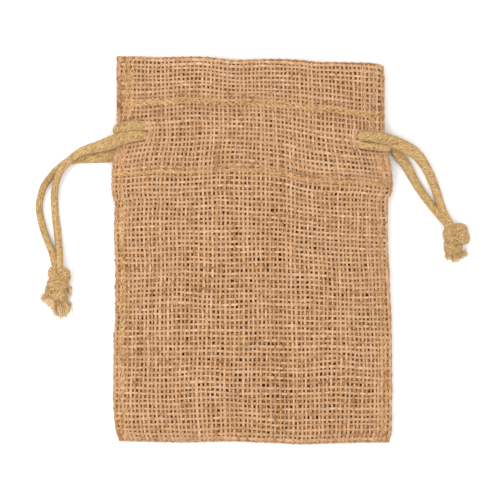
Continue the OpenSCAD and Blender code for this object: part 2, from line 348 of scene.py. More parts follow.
def fibre_material(name, dark, middle, light, along, across, bump, roughness=0.88, sheen=0.1, patch=0.5,
                   spread=0.29):
    """Matt twisted fibre: streaks along each strand, slow patches of tone, and fine relief."""
    material = bpy.data.materials.new(name)
    material.use_nodes = True
    nodes, links = material.node_tree.nodes, material.node_tree.links
    shader = nodes["Principled BSDF"]
    shader.inputs["Roughness"].default_value = roughness
    shader.inputs["Sheen Weight"].default_value = sheen
    shader.inputs["Sheen Roughness"].default_value = 0.6
    shader.inputs["Specular IOR Level"].default_value = 0.25
    fibre = nodes.new("ShaderNodeAttribute")
    fibre.attribute_name = "fibre"
    tone = nodes.new("ShaderNodeAttribute")
    tone.attribute_name = "tone"

    def noise(scale, detail):
        place = nodes.new("ShaderNodeMapping")
        place.inputs["Scale"].default_value = scale
        links.new(fibre.outputs["Vector"], place.inputs["Vector"])
        made = nodes.new("ShaderNodeTexNoise")
        made.inputs["Scale"].default_value = 1
        made.inputs["Detail"].default_value = detail
        made.inputs["Roughness"].default_value = 0.6
        links.new(place.outputs["Vector"], made.inputs["Vector"])
        return made.outputs["Fac"]

    def math_node(kind, first, second):
        node = nodes.new("ShaderNodeMath")
        node.operation = kind
        for socket, value in zip(node.inputs, (first, second)):
            if isinstance(value, (int, float)):
                socket.default_value = value
            else:
                links.new(value, socket)
        return node.outputs[0]

    streaks = noise((along, across, across), 3)
    patches = noise((0.09, 0.25, 0.25), 2)
    streaks = math_node("MULTIPLY", streaks, 1 - 0.5 * patch)
    patches = math_node("MULTIPLY", patches, patch)
    mixed = math_node("ADD", streaks, patches)
    mixed = math_node("ADD", mixed, math_node("SUBTRACT", tone.outputs["Fac"], 0.5 + 0.25 * patch))
    ramp = nodes.new("ShaderNodeValToRGB")
    ramp.color_ramp.interpolation = "EASE"
    ends = ramp.color_ramp.elements
    ends[0].position, ends[0].color = 0.5 - spread, dark
    ends[1].position, ends[1].color = 0.5 + spread, light
    centre = ends.new(0.5)
    centre.color = middle
    links.new(mixed, ramp.inputs["Fac"])
    links.new(ramp.outputs["Color"], shader.inputs["Base Color"])
    relief = nodes.new("ShaderNodeBump")
    relief.inputs["Strength"].default_value = bump
    relief.inputs["Distance"].default_value = 0.25 * MM
    links.new(noise((along * 2, across * 1.6, across * 1.6), 2), relief.inputs["Height"])
    links.new(relief.outputs["Normal"], shader.inputs["Normal"])
    return material


JUTE = fibre_material(
    "jute", linear(142, 95, 50), linear(194, 152, 112), linear(217, 181, 144), 0.5, 3.2, 0.5,
    patch=0.3, spread=0.26,
)
# Loose fibres on the inner faces of the cloth, coloured darker and more saturated than the jute's own colour:
# painted shade, so that the holes look shaded brown.
LINT_SHADED = fibre_material(
    "shaded_jute_lint", linear(140, 90, 38), linear(184, 124, 62), linear(208, 154, 92), 0.5, 3.2, 0.3, sheen=0
)
# The hems and seam allowances are the same jute as the outer cloth: this darker copy is painted shade, for
# the shade inside the pouch that shows through the holes.
HEM_JUTE_SHADED = fibre_material(
    "jute_hem", linear(116, 70, 24), linear(170, 118, 64), linear(202, 154, 100), 0.5, 3.2, 0.5
)
THREAD = fibre_material(
    "golden_thread", linear(164, 112, 56), linear(212, 165, 106), linear(234, 196, 142), 0.6, 4, 0.4,
    roughness=0.75, patch=0.3,
)
CORD = fibre_material(
    "cotton_cord", linear(98, 66, 24), linear(184, 148, 96), linear(212, 180, 130), 0.9, 2.6, 1.0,
    roughness=0.95, sheen=0.05, patch=0.1, spread=0.15,
)
FRAY = fibre_material(
    "frayed_cotton", linear(140, 102, 52), linear(192, 156, 106), linear(226, 200, 160), 0.5, 5, 0.3,
    roughness=0.9, sheen=0.1, patch=0.3, spread=0.25,
)


def finish_piece(piece, material, slot, *nodes):
    piece.data.materials.append(material)
    if nodes:
        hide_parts(*nodes)
    return piece


# ---------------------------------------------------------------- camera, light and floor


def set_stage():
    """Camera, lamps, white surroundings and a paper floor."""
    cam = bpy.data.objects.new("camera", bpy.data.cameras.new("camera"))
    cam.data.lens, cam.data.sensor_width = 200, 36
    view_width, view_middle = 232.5, -0.93  # of the picture, at the height of the side edges
    edge_height = 5
    distance = view_width * MM * cam.data.lens / cam.data.sensor_width
    cam.location = (view_middle * MM, 0, distance + edge_height * MM)
    bpy.context.scene.collection.objects.link(cam)
    bpy.context.scene.camera = cam

    def lamp(name, place, size, power):
        data = bpy.data.lights.new(name, "AREA")
        data.shape, data.size, data.energy = "DISK", size, power
        made = bpy.data.objects.new(name, data)
        made.location = place
        made.rotation_mode = "QUATERNION"
        made.rotation_quaternion = Vector(place).to_track_quat("Z", "Y")
        bpy.context.scene.collection.objects.link(made)

    lamp("overhead", (0, 0, 1.5), 1.6, 9.5)
    lamp("key", (-0.8, 0, 1.3), 0.5, 6)
    world = bpy.data.worlds.new("studio")
    world.use_nodes = True
    world.node_tree.nodes["Background"].inputs["Color"].default_value = (1, 1, 1, 1)
    world.node_tree.nodes["Background"].inputs["Strength"].default_value = 0.95
    bpy.context.scene.world = world
    bpy.context.scene.view_settings.view_transform = "Standard"

    span = 3.0
    mesh = bpy.data.meshes.new("floor")
    corners = [(-span, -span, 0), (span, -span, 0), (span, span, 0), (-span, span, 0)]
    mesh.from_pydata(corners, [], [(0, 1, 2, 3)])
    floor = bpy.data.objects.new("floor", mesh)
    paper = bpy.data.materials.new("paper")
    paper.use_nodes = True
    shader = paper.node_tree.nodes["Principled BSDF"]
    shader.inputs["Base Color"].default_value = (0.93, 0.93, 0.93, 1)
    shader.inputs["Roughness"].default_value = 0.95
    mesh.materials.append(paper)
    bpy.context.scene.collection.objects.link(floor)


set_stage()

# ---------------------------------------------------------------- drawcords

# The routes of part.scad, in millimetres. Each cord's loop starts at the cut of its back strand,
# runs through the back casing, round the far side, through the front casing and out to the other cut.
ROUTES = {
    "left": {
        "loop": [
            (-76, 42.9, 1.8), (-70, 43.4, 1.8), (-64.6, 44.1, 1.8), (-58, 47.6, 1.8), (-52, 50.9, 1.8),
            (-44, 52, 2.6), (-22, 51.3, 2.6), (0, 50.5, 2.6), (22, 49.8, 2.6), (44, 49, 2.6),
            (52, 48.7, 1.8), (60.2, 47.8, 1.9), (62.7, 47.3, 3.6), (63, 47.2, 5.9), (62.7, 47.3, 8.2),
            (60.2, 47.5, 10), (56, 47.9, 11.3), (50, 48.4, 12.3), (44, 48.9, 12.6), (22, 49.8, 12.6),
            (0, 50.8, 12.6), (-22, 51.8, 12.6), (-44, 52.9, 12.6), (-50, 52.9, 12.3),
            (-56, 52.5, 11.3), (-61, 51.4, 9.9), (-66, 49.7, 8.8), (-71, 48.1, 7.8), (-76, 46.9, 6.9),
        ],
        "front": [
            (-76, 46.9, 6.9), (-80, 45.3, 6.3), (-83, 43.2, 5.9), (-85.5, 41, 5.6), (-87.8, 38.5, 5.3),
            (-89.5, 35.9, 4.9), (-90.6, 33.1, 4.3), (-91.5, 30, 3.4), (-92, 25, 2.3), (-91.9, 20, 1.8),
            (-91.5, 15, 1.8), (-90.8, 10, 1.9), (-90.3, 5, 2.3), (-89.8, 0, 3.2), (-89.5, -5, 4.2),
            (-89.4, -10, 4.8),
        ],
        "back": [
            (-76, 42.9, 1.8), (-82, 42.2, 1.8), (-86.5, 40.8, 1.8), (-91.2, 37.2, 1.8), (-94.3, 33.6, 1.8),
            (-96.8, 30, 1.8), (-98.5, 25, 1.8), (-99.2, 20, 1.8), (-98.6, 15, 1.8), (-97.3, 10, 1.8),
            (-95.6, 5, 2), (-93.5, 0, 2.8), (-92, -5, 4), (-91, -10, 4.8),
        ],
    },
    "right": {
        "loop": [
            (69.3, 43, 1.8), (67.8, 45, 1.8), (66.6, 47.5, 1.8), (64.2, 50.3, 1.8), (60, 51.9, 1.8),
            (52, 52.6, 1.8), (44, 52.8, 2.6), (22, 53.7, 2.6), (0, 54.6, 2.6), (-22, 55.5, 2.6),
            (-44, 56.4, 2.6), (-52, 56.3, 1.8), (-60.2, 56, 1.9), (-62.7, 55.6, 3.6), (-63, 55.6, 5.9),
            (-62.6, 55.9, 8.2), (-60.2, 56.7, 10), (-56, 57.4, 11.3), (-50, 57.4, 12.3),
            (-44, 57, 12.6), (-22, 56, 12.6), (0, 55, 12.6), (22, 54, 12.6), (44, 53, 12.6),
            (50, 52.7, 12.3), (56, 52.3, 11.3), (61, 51.5, 10.1), (65, 50.3, 9.2), (70, 48.2, 8.2),
            (74, 46.1, 7.4),
        ],
        "front": [
            (74, 46.1, 7.4), (76.4, 44.3, 6.8), (78.4, 42.1, 6), (80.9, 38.5, 4.9), (83.1, 34.3, 3.6),
            (85, 29.7, 2.5), (86.7, 24.8, 2.1), (88.2, 20, 2.4), (89.9, 15.8, 3.6), (91.6, 12.6, 4.6),
            (92.9, 10, 5),
        ],
        "back": [
            (69.3, 43, 1.8), (71.2, 40.4, 1.8), (72.5, 38.4, 1.8), (73.9, 35.7, 1.8), (76.5, 31, 1.8),
            (79.2, 26.8, 1.8), (81.8, 23.2, 1.8), (84.2, 19.9, 2), (86.6, 17, 2.8), (89, 14, 4),
            (91, 11.6, 4.8), (92.2, 9.8, 5),
        ],
    },
}
# The soft cords' widths where they lie flattened, by distance from the pouch's middle: the strand
# over the cloth, the strand from behind it, and the turn round the far side.
WIDTHS = {
    "left": {
        "front": curve((44, 3.5), (48, 4.4), (56, 5.6), (62, 6.2), (66, 6.3), (71, 5), (77, 4.2), (82, 3.5),
                       (100, 3.25)),
        "back": curve((52, 3.6), (60, 5.6), (70, 5.5), (76, 4.7), (82, 3.6), (88, 3.25), (100, 3.2)),
        "far": curve((44, 3.4), (50, 3.6), (63, 3.4)),
    },
    "right": {
        "front": curve((44, 3.5), (48, 4.5), (56, 5), (64, 5.8), (76, 5.6), (80, 4.8), (84, 4.2), (100, 3.5)),
        "back": curve((52, 3.3), (62, 4.8), (68, 5.4), (72, 4.6), (76, 3.9), (80, 4), (85, 3.6), (100, 3.4)),
        "far": curve((44, 3.5), (49, 4.8), (63, 4.9)),
    },
}


def spline(points, step, lead=None, trail=None):
    """A smooth line through the points, sampled every step millimetres. lead and trail are the
    neighbours beyond its ends, so that two lines that share an end meet without a kink."""
    p = np.array(points, float)
    before = np.array(lead, float) if lead is not None else 2 * p[0] - p[1]
    after = np.array(trail, float) if trail is not None else 2 * p[-1] - p[-2]
    q = np.vstack([before, p, after])
    knots = np.concatenate([[0], np.cumsum(np.linalg.norm(np.diff(q, axis=0), axis=1) ** 0.5)])
    line = []
    for k in range(1, len(q) - 2):
        length = np.linalg.norm(q[k + 1] - q[k])
        count = max(2, int(round(length / step)))
        t = np.linspace(knots[k], knots[k + 1], count, endpoint=False)[:, None]
        a = [
            ((knots[m + 1] - t) * q[m] + (t - knots[m]) * q[m + 1]) / (knots[m + 1] - knots[m])
            for m in (k - 1, k, k + 1)
        ]
        b = [
            ((knots[m + 2] - t) * a[m - k + 1] + (t - knots[m]) * a[m - k + 2]) / (knots[m + 2] - knots[m])
            for m in (k - 1, k)
        ]
        line.append(((knots[k + 1] - t) * b[0] + (t - knots[k]) * b[1]) / (knots[k + 1] - knots[k]))
    return np.vstack(line + [q[-2:-1]])


CORD_SIDES = 28  # points round a cord
PLIES = 6
PLY_TURN = 0.36  # how far the plies turn in a millimetre, in radians
ROUND_LIMIT = 3.35  # a flattened cord is never thicker than this


def plies(place, angle):
    """Shallow grooves between the cord's twisted plies, and a slight unevenness."""
    turn = angle * PLIES - PLY_TURN * PLIES * place
    lumps = 0.018 * np.sin(3 * angle + 1.3 * place) + 0.018 * np.sin(2 * angle - 2.1 * place)
    return 1 + 0.06 * np.abs(np.sin(turn / 2)) - 0.04 + lumps


def smoothed(values, reach):
    """Running means along a line, over reach points each way."""
    kernel = np.ones(2 * reach + 1) / (2 * reach + 1)
    padded = np.pad(values, [(reach, reach)] + [(0, 0)] * (values.ndim - 1), "edge")
    return np.apply_along_axis(lambda v: np.convolve(v, kernel, "valid"), 0, padded)


def cord_tubes(side, back, loop, front):
    """The meshes of a drawcord's back strand, loop and front strand, cut from one tube."""
    line = np.vstack([back[::-1][:-1], loop, front[1:]])
    first, second = len(back) - 1, len(back) + len(loop) - 2
    hand = -1 if side == "left" else 1
    out, own = np.abs(line[:, 0]), line[:, 0] * hand > 0
    place = np.arange(len(line))
    over = place > (first + second) / 2
    shape = WIDTHS[side]
    wide = np.where(own, np.where(over, shape["front"](out), shape["back"](out)), shape["far"](out))
    wide = smoothed(wide, 3) * (1 + wander(len(line), 3, 0.018))
    along = unit(np.gradient(line, axis=0))
    steep = np.abs(along[:, 2:]) > 0.6
    up = np.where(steep, np.sign(line[:, :1]) * (1.0, 0, 0), (0.0, 0, 1))
    far = np.flatnonzero(~own & steep[:, 0])
    if len(far):  # past the far side's turn the cord's top faces the other way
        up[: far[0]] *= -1
    up = unit(smoothed(up, 2))
    made = rings(line, up, wide, np.minimum(wide, ROUND_LIMIT), CORD_SIDES,
                 tone=0.5 + wander(len(line), 9, 0.015), twist=PLY_TURN, groove=plies)
    cuts = (0, first, second, len(line) - 1)
    pieces = []
    for name, a, b in zip(("back_strand", "drawcord", "front_strand"), cuts[:-1], cuts[1:]):
        tube = Strands(CORD_SIDES)
        tube.add_rings(*(values[a : b + 1] for values in made))
        pieces.append(tube.build(f"{side}_{name}"))
    return pieces


# Each knot as it lies: its middle, the turns of cord that show (width and route), and the rounded
# masses under them (centre and half sizes), all from its middle.
KNOTS = {
    "left": {
        "middle": (-89.6, -11.7, 4.4),
        "turns": [
            (5.4, [(-3.9, 2.4, -1.4), (-3.4, 1.4, 0.6), (-2.5, -0.4, 1.7), (-0.6, -2, 2), (1.8, -3.1, 1.2),
                   (3.1, -3.6, -0.8)]),
            (4.6, [(-0.4, 2.2, -0.8), (1.2, 2.2, 1), (2.9, 1.5, 1.4), (3.6, -0.2, 1.3), (3.2, -2, 0.6),
                   (1.8, -3.4, -0.8)]),
        ],
        "masses": [((0, -0.9, -0.4), (4.9, 3.9, 3.8)), ((-0.9, -4.2, -1), (5.1, 3.2, 3.1)),
                   ((-1.7, -7.4, -1), (5.1, 4.2, 3.3)), ((0.9, -9, -1.4), (2.8, 3.6, 2.8))],
    },
    "right": {
        "middle": (95, 7.2, 4.7),
        "turns": [
            (4.6, [(-5.2, 1.4, -1.6), (-4.7, -0.2, 0.2), (-2.6, -1.8, 1.7), (0.8, -2.6, 1.9), (3.6, -2.6, 1),
                   (4.7, -2.2, -0.8)]),
            (4, [(-4.6, -4, -2.4), (-4, -5, -0.8), (-1.4, -6, 0.2), (1, -5.9, 0), (2.2, -5.2, -1.6)]),
        ],
        "masses": [((-0.3, 0.2, -0.1), (6, 4.9, 4.4)), ((1.6, 1.4, -0.2), (3.9, 3.9, 3.9)),
                   ((3.7, -1.7, -0.8), (2.7, 2.9, 3)), ((-1.5, -4.8, -1.3), (4.3, 2.8, 3)),
                   ((-1.4, -6.6, -1.9), (4.2, 3.2, 2.7))],
    },
}
# The frayed ends as locks of fibres: count, half width at the root and at the tip, and route.
LOCKS = {
    "left": [
        (34, 1.8, 1.3, [(-93.2, -20.6, 3.6), (-95.2, -21.6, 3), (-96.8, -22.2, 2.2), (-97.6, -23.4, 1.6)]),
        (34, 1.8, 1.4, [(-93.2, -20.8, 3.4), (-95, -22.8, 2.8), (-96.4, -24, 2), (-97.3, -24.6, 1.5)]),
        (30, 1.8, 1.2, [(-92.8, -20.8, 3.4), (-94.2, -23.8, 2.6), (-95.8, -25.6, 1.4)]),
        (26, 1.6, 1, [(-91.8, -20.8, 3.6), (-92.4, -24.5, 2.6), (-92.9, -28.2, 1.3)]),
        (30, 1.7, 1, [(-91.2, -20.8, 3.8), (-91.2, -25.5, 2.8), (-91.6, -29.3, 1.5), (-91, -31.6, 1)]),
        (26, 1.5, 0.9, [(-90.2, -20.8, 3.8), (-89.8, -25.5, 2.8), (-89, -29.4, 1.6), (-88.6, -32.4, 1)]),
        (24, 1.5, 0.8, [(-89.4, -20.8, 3.6), (-88.4, -25.5, 2.6), (-87.4, -28.8, 1.5), (-87.5, -31, 1)]),
        (22, 1.5, 0.8, [(-88.6, -20.8, 3.4), (-87.2, -24.8, 2.4), (-85.4, -28.2, 1.3), (-86.2, -29.6, 1)]),
        (14, 1.3, 0.7, [(-88.2, -21, 3), (-86.8, -24, 2), (-84.8, -25.2, 1.2), (-84.5, -26.6, 1)]),
        (12, 0.7, 0.5, [(-86.8, -15.4, 3), (-85.4, -17.4, 2.2), (-84.7, -19.6, 1.4), (-84.4, -21.8, 0.9)]),
        (10, 0.6, 0.4, [(-86.8, -18.4, 2.6), (-85.6, -19.6, 1.8), (-84.5, -18.2, 1.2), (-84.3, -16.8, 0.9)]),
        (10, 0.9, 0.5, [(-87.4, -19.4, 2.8), (-86.2, -21.8, 1.8), (-85, -23.4, 1)]),
    ],
    "right": [
        (22, 1.2, 0.9, [(91.8, -0.6, 2.8), (91.2, -2.6, 2), (92.6, -4.6, 1.2)]),
        (26, 1.3, 0.9, [(93, -0.6, 3.2), (93, -3, 2.2), (93.7, -5, 1.2)]),
        (26, 1.3, 0.9, [(94.2, -0.6, 3.2), (94.8, -3, 2.2), (95.1, -6, 1.2)]),
        (24, 1.2, 0.8, [(95.2, -0.6, 3), (96, -2.6, 2.2), (96.5, -4.7, 1.2)]),
        (22, 1.2, 0.8, [(95.8, -0.4, 2.8), (97, -1.8, 2), (98.3, -3.2, 1.2)]),
        (34, 1.1, 1, [(95.8, -0.8, 3), (98, -1.9, 2.3), (99.6, -1.8, 1.7), (100.8, -1.5, 1.5)]),
    ],
}


def knot(side):
    shape = KNOTS[side]
    middle = np.array(shape["middle"])
    strands = Strands(26)
    for wide, route in shape["turns"]:
        path = spline(route, 0.4)
        along = unit(np.gradient(path, axis=0))
        out = unit(path - along * (path * along).sum(-1, keepdims=True))
        place = np.linspace(0, 1, len(path))
        size = wide * (0.5 + 0.5 * np.sin(np.minimum(np.minimum(place, 1 - place) * 7, math.pi / 2)))
        strands.add(path + middle, out, size, size * 0.72, tone=0.5 + wander(len(path), 5, 0.015),
                    twist=PLY_TURN, groove=plies)
    for centre, (rx, ry, rz) in shape["masses"]:
        t = np.linspace(-0.99, 0.99, 25)
        round_off = (1 - np.abs(t) ** 2.6) ** 0.45
        path = np.stack([t * rx, 0 * t, 0 * t], -1) + middle + centre
        strands.add(path, (0, 0, 1), 2 * ry * round_off, 2 * rz * round_off, tone=0.49 + wander(25, 3, 0.015),
                    twist=0.25, groove=plies)
    return strands.build(f"{side}_overhand_knot")


def tassel(side):
    """Frayed ends: locks of fine fibres that leave the knot, spread and curl."""
    strands = Strands(5)
    steps = 14
    t = np.linspace(0, 1, steps)
    for count, root, tip, route in LOCKS[side]:
        shade = RNG.normal(0, 0.05)
        path = spline(route, 0.5)
        at = np.linspace(0, len(path) - 1, steps)
        path = np.stack([np.interp(at, np.arange(len(path)), path[:, axis]) for axis in range(3)], -1)
        along = unit(np.gradient(path, axis=0))
        left = unit(np.cross((0, 0, 1), along))
        up = np.cross(along, left)
        for _ in range(count):
            spin, out = RNG.uniform(0, 2 * math.pi), math.sqrt(RNG.uniform(0, 1))
            reach = (root + (tip - root) * t) * out
            curl = RNG.normal(0, 0.7) * t**3
            across = reach * math.cos(spin) + wander(steps, 2, 0.22) * t + curl
            rise = 0.8 * reach * math.sin(spin) + wander(steps, 2, 0.2) * t
            line = path + left * across[:, None] + up * rise[:, None]
            line = line[: RNG.integers(steps - 4, steps + 1)]
            line[:, 2] = np.maximum(line[:, 2], 0.35)
            done = np.linspace(0, 1, len(line))
            size = RNG.uniform(0.34, 0.66) * np.interp(done, (0, 0.8, 1), (1, 0.85, 0.4))
            tone = 0.4 + shade + 0.3 * done**1.5 + RNG.normal(0, 0.08)
            strands.add(line, (0, 0, 1), size, size, tone=tone, twist=1.5)
    return strands.build(f"{side}_frayed_ends")


def drawcord(side):
    """One drawcord: its loop, its two strands, their knot and the frayed ends."""
    routes = ROUTES[side]
    body, tail_body = f"{side}_cord", f"{side}_tail"
    loop = spline(routes["loop"], 1.2, lead=routes["back"][1], trail=routes["front"][1])
    front = spline(routes["front"], 0.9, lead=routes["loop"][-2])
    back = spline(routes["back"], 0.9, lead=routes["loop"][1])
    back_piece, loop_piece, front_piece = cord_tubes(side, back, loop, front)
    finish_piece(loop_piece, CORD, "cotton_cord", f"{side}_casing_cord", f"{side}_far_loop")
    finish_piece(front_piece, CORD, "cotton_cord", f"{side}_tail")
    finish_piece(back_piece, CORD, "cotton_cord", f"{side}_tail")
    knot_piece = finish_piece(knot(side), CORD, "cotton_cord", f"{side}_knot")
    tassel_piece = finish_piece(tassel(side), FRAY, "cotton_cord", f"{side}_tassel")
    for piece in (knot_piece, tassel_piece):
        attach(piece, tail_body)
    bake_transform(loop_piece)
    hinge = next(j for j in frame["joints"] if j["name"] == f"{side}_tail_swing")["pos_m"]
    # the hinge of the tail's swing and the reach from it to the knot, which nothing further uses; the strands
    # are only baked in place
    start = np.array(hinge)
    reach = np.array(routes["front"][-1]) * MM - start
    reach[2] = 0
    for piece in (front_piece, back_piece):
        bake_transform(piece)


for side in ("left", "right"):
    drawcord(side)

# ---------------------------------------------------------------- the woven cloth


def blank_rows():
    """The cloth blank from the front hem's raw edge, over the mouth, down the front, round the
    bottom fold, up the back, over the mouth and down inside. Two entries a weft: on it and after it.
    Each is (layer, row, None), or in a fold (both layers, row, (reach past the row, share done))."""
    full = [TOP_ROW - MOUTH_INSET]
    while full[-1] > HEM_ROW + 1:
        full.append(full[-1] - float(row_pitch(full[-1])))
    hem = full[::-1]
    outer = list(full)
    while outer[-1] > FOOT_ROW + 3:
        outer.append(outer[-1] - float(row_pitch(outer[-1])))
    outer += [FOOT_ROW]
    rows = []

    def run(layer, places):
        for k, y in enumerate(places):
            rows.append((layer, y, None))
            if k + 1 < len(places):
                rows.append((layer, (y + places[k + 1]) / 2, None))

    def fold(one, other, y, reach):
        for share in (0.25, 0.5, 0.75):
            rows.append(((one, other), y, (reach * math.sin(math.pi * share), share)))

    run("front_hem", hem)
    fold("front_hem", "front", hem[-1], MOUTH_REACH)
    run("front", outer)
    fold("front", "back", outer[-1], -FOOT_REACH)
    run("back", outer[::-1])
    fold("back", "back_hem", full[0], MOUTH_REACH)
    run("back_hem", full)
    return rows


ROWS = blank_rows()


def row_points(parts, entry):
    """Points of one entry of the blank at these places across it. In a fold they go over from one
    layer to the other and reach past the row."""
    layer, row, in_fold = entry
    full = np.full(len(parts), row)
    if isinstance(layer, str):
        return cloth_point(layer, parts, full)
    reach, share = in_fold
    one, other = (cloth_point(name, parts, full) for name in layer)
    middle = (1 + math.cos(math.pi * share)) / 2
    made = one * middle + other * (1 - middle)
    made[:, 1] += reach
    return made


def column_parts():
    """Places of the warp yarns and of the points between them, across the cloth."""
    inner = np.linspace(0, 1, HALF_COLUMNS + 1)[:-1]
    outer = 1 + np.array(CURL_ARCS) / HALF_WIDTH
    half = np.concatenate([inner, outer])
    between = (half[1:] + half[:-1]) / 2
    full = np.empty(len(half) + len(between))
    full[::2], full[1::2] = half, between
    return np.concatenate([-full[:0:-1], full])


PARTS = column_parts()
GRID = np.array([row_points(PARTS, entry) for entry in ROWS])
OUTWARD = unit(np.cross(np.gradient(GRID, axis=1), np.gradient(GRID, axis=0)))
LAYER_OF = [entry[0] for entry in ROWS]


def rows_of(layer):
    """First and last entry of a layer, with half of each fold it joins."""
    own = [k for k, name in enumerate(LAYER_OF) if name == layer]
    first, last = own[0], own[-1]
    return (first - 2 if first >= 2 else first), (last + 2 if last + 2 < len(ROWS) else last)


# How much wider the yarns are where they crowd together, and narrower where the weave opens.
SIDE_CROWD, FOOT_CROWD, STITCH_CROWD, LEFT_HEADER_CROWD = 0.14, 0.2, 0.3, 0.26
NEEDLE_OPENING, HEADER_OPENING = 0.1, 0.11


def close_weave():
    """How wide the yarns are against those of the open cloth, over the whole grid: they crowd together
    along the side edges, at the foot, at the stitch lines and at the header's left side. The needle
    opens a row under each stitch line, and the header is more open too."""
    out = np.abs(PARTS[None, :])
    row = np.array([entry[1] for entry in ROWS])[:, None]
    sides, foot = np.clip((out - 0.9) / 0.05, 0, 1), np.clip((-84 - row) / 3, 0, 1)
    wider = SIDE_CROWD * sides + FOOT_CROWD * foot
    for line in (LOWER_ROW, UPPER_ROW):
        wider = wider + STITCH_CROWD * np.exp(-0.5 * ((row - line - 0.6) / 1.8) ** 2)
        wider = wider - NEEDLE_OPENING * np.exp(-0.5 * ((row - line + 3.6) / 1.1) ** 2)
    wider = wider - HEADER_OPENING * np.clip((row - 70) / 6, 0, 1)
    left_header = np.clip((-PARTS[None, :] - 0.87) / 0.05, 0, 1) * np.clip((row - 60) / 6, 0, 1)
    return 1 + (wider + LEFT_HEADER_CROWD * left_header)


def yarn_sizes(count, wide, step):
    """Widths and thicknesses along one jute yarn: uneven, with a slub now and then."""
    swell_along = wander(count, 5 / step, 0.09) + wander(count, 1.1, 0.05) + RNG.normal(0, 0.07)
    if RNG.uniform() < 0.25:
        centre, reach = RNG.uniform(0, count), RNG.uniform(2, 5) / step
        swell_along = swell_along + 0.16 * np.exp(-0.5 * ((np.arange(count) - centre) / reach) ** 2)
    return wide * np.exp(swell_along), YARN_T * np.exp(0.5 * swell_along)


def weave(layer):
    """The two pieces of one layer of cloth: its warp and its weft."""
    first, last = rows_of(layer)
    hem = layer.endswith("hem")
    warp, weft = Strands(), Strands()
    for i in range(0, len(PARTS), 2):
        if hem and abs(PARTS[i]) > HEM_LIMIT:
            continue
        k = np.arange(first, last + 1)
        rise = np.where(k % 2 == 0, (-1.0) ** ((k // 2 + i // 2) % 2), 0)
        line = GRID[k, i] + OUTWARD[k, i] * (rise * CRIMP)[:, None]
        shift = WARP_SHIFT[i // 2][k]
        line = line + ACROSS[k, i] * shift[:, None]
        wide, thick = WARP_SIZES[i // 2]
        close = np.ones(len(k)) if hem else CLOSE[k, i]
        tone = WARP_TONE[i // 2][k] - CROWD_DARKER * (close - 1)
        warp.add(line, OUTWARD[k, i], wide[k] * close, thick[k], tone=tone)
    for k in range(first + first % 2, last + 1, 2):
        rise_start = (k // 2) % 2
        inside = np.abs(PARTS) <= (HEM_LIMIT + 0.01 if hem else 9)
        index = np.nonzero(inside)[0]
        rise = np.where(index % 2 == 0, -((-1.0) ** ((index // 2 + rise_start) % 2)), 0)
        line = GRID[k, index] + OUTWARD[k, index] * (rise * CRIMP)[:, None]
        shift = wander(len(index), 6, 0.12) + wander(len(index), 1.2, 0.08)
        line = line + UPWARD[k, index] * shift[:, None]
        wide, thick = yarn_sizes(len(index), WEFT_W, 1)
        close = np.ones(len(index)) if hem else CLOSE[k, index]
        wide = wide * close
        tone = 0.5 + wander(len(index), 12, 0.035) + wander(len(index), 1.5, 0.05) + RNG.normal(0, 0.03)
        tone = tone - CROWD_DARKER * (close - 1)
        for piece in parts_clear_of_slits(layer, line):
            weft.add(line[piece], OUTWARD[k, index][piece], wide[piece], thick[piece], tone=tone[piece])
    return warp.build(f"{layer}_warp"), weft.build(f"{layer}_weft")


def parts_clear_of_slits(layer, line):
    """The stretches of a weft that the slits for the cords leave whole."""
    keep = np.ones(len(line), bool)
    if layer in ("front", "back"):
        for side, (low, high) in SLIT_ROWS.items():
            out = line[:, 0] * side
            beside = np.abs(out - SLIT_X) < SLIT_HALF
            keep &= ~(beside & (line[:, 1] > low + SLIT_CUT) & (line[:, 1] < high - SLIT_CUT))
    edges = np.flatnonzero(np.diff(np.concatenate([[0], keep.astype(int), [0]])))
    return [np.arange(a, b) for a, b in edges.reshape(-1, 2) if b - a > 2]


ACROSS = unit(np.gradient(GRID, axis=1))
UPWARD = unit(np.gradient(GRID, axis=0))
WARPS = (len(PARTS) + 1) // 2
WARP_SHIFT = [wander(len(ROWS), 7, 0.11) + wander(len(ROWS), 1.2, 0.08) for _ in range(WARPS)]
WARP_SIZES = [yarn_sizes(len(ROWS), WARP_W, 1.1) for _ in range(WARPS)]
WARP_TONE = [
    0.5 + wander(len(ROWS), 12, 0.035) + wander(len(ROWS), 1.5, 0.04) + RNG.normal(0, 0.03)
    for _ in range(WARPS)
]
CLOSE = close_weave()

PANEL_FLAT, HEM_FLAT = (0.146, 0.181), (0.122, 0.066)  # metres
# The hems take the darker copy of the jute, which is painted shade.
CLOTH = {
    "front": (JUTE, "jute_cloth", ["front_panel"], PANEL_FLAT),
    "back": (JUTE, "jute_cloth", ["back_panel", "bottom_fold"], PANEL_FLAT),
    "front_hem": (HEM_JUTE_SHADED, "jute_hem", ["front_hem"], HEM_FLAT),
    "back_hem": (HEM_JUTE_SHADED, "jute_hem", ["back_hem"], HEM_FLAT),
}
for layer, (material, slot, nodes, flat) in CLOTH.items():
    warp, weft = weave(layer)
    finish_piece(warp, material, slot, *nodes)
    finish_piece(weft, material, slot, *nodes)
    for piece in (warp, weft):
        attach(piece, "pouch")

# ---------------------------------------------------------------- seams and stitches


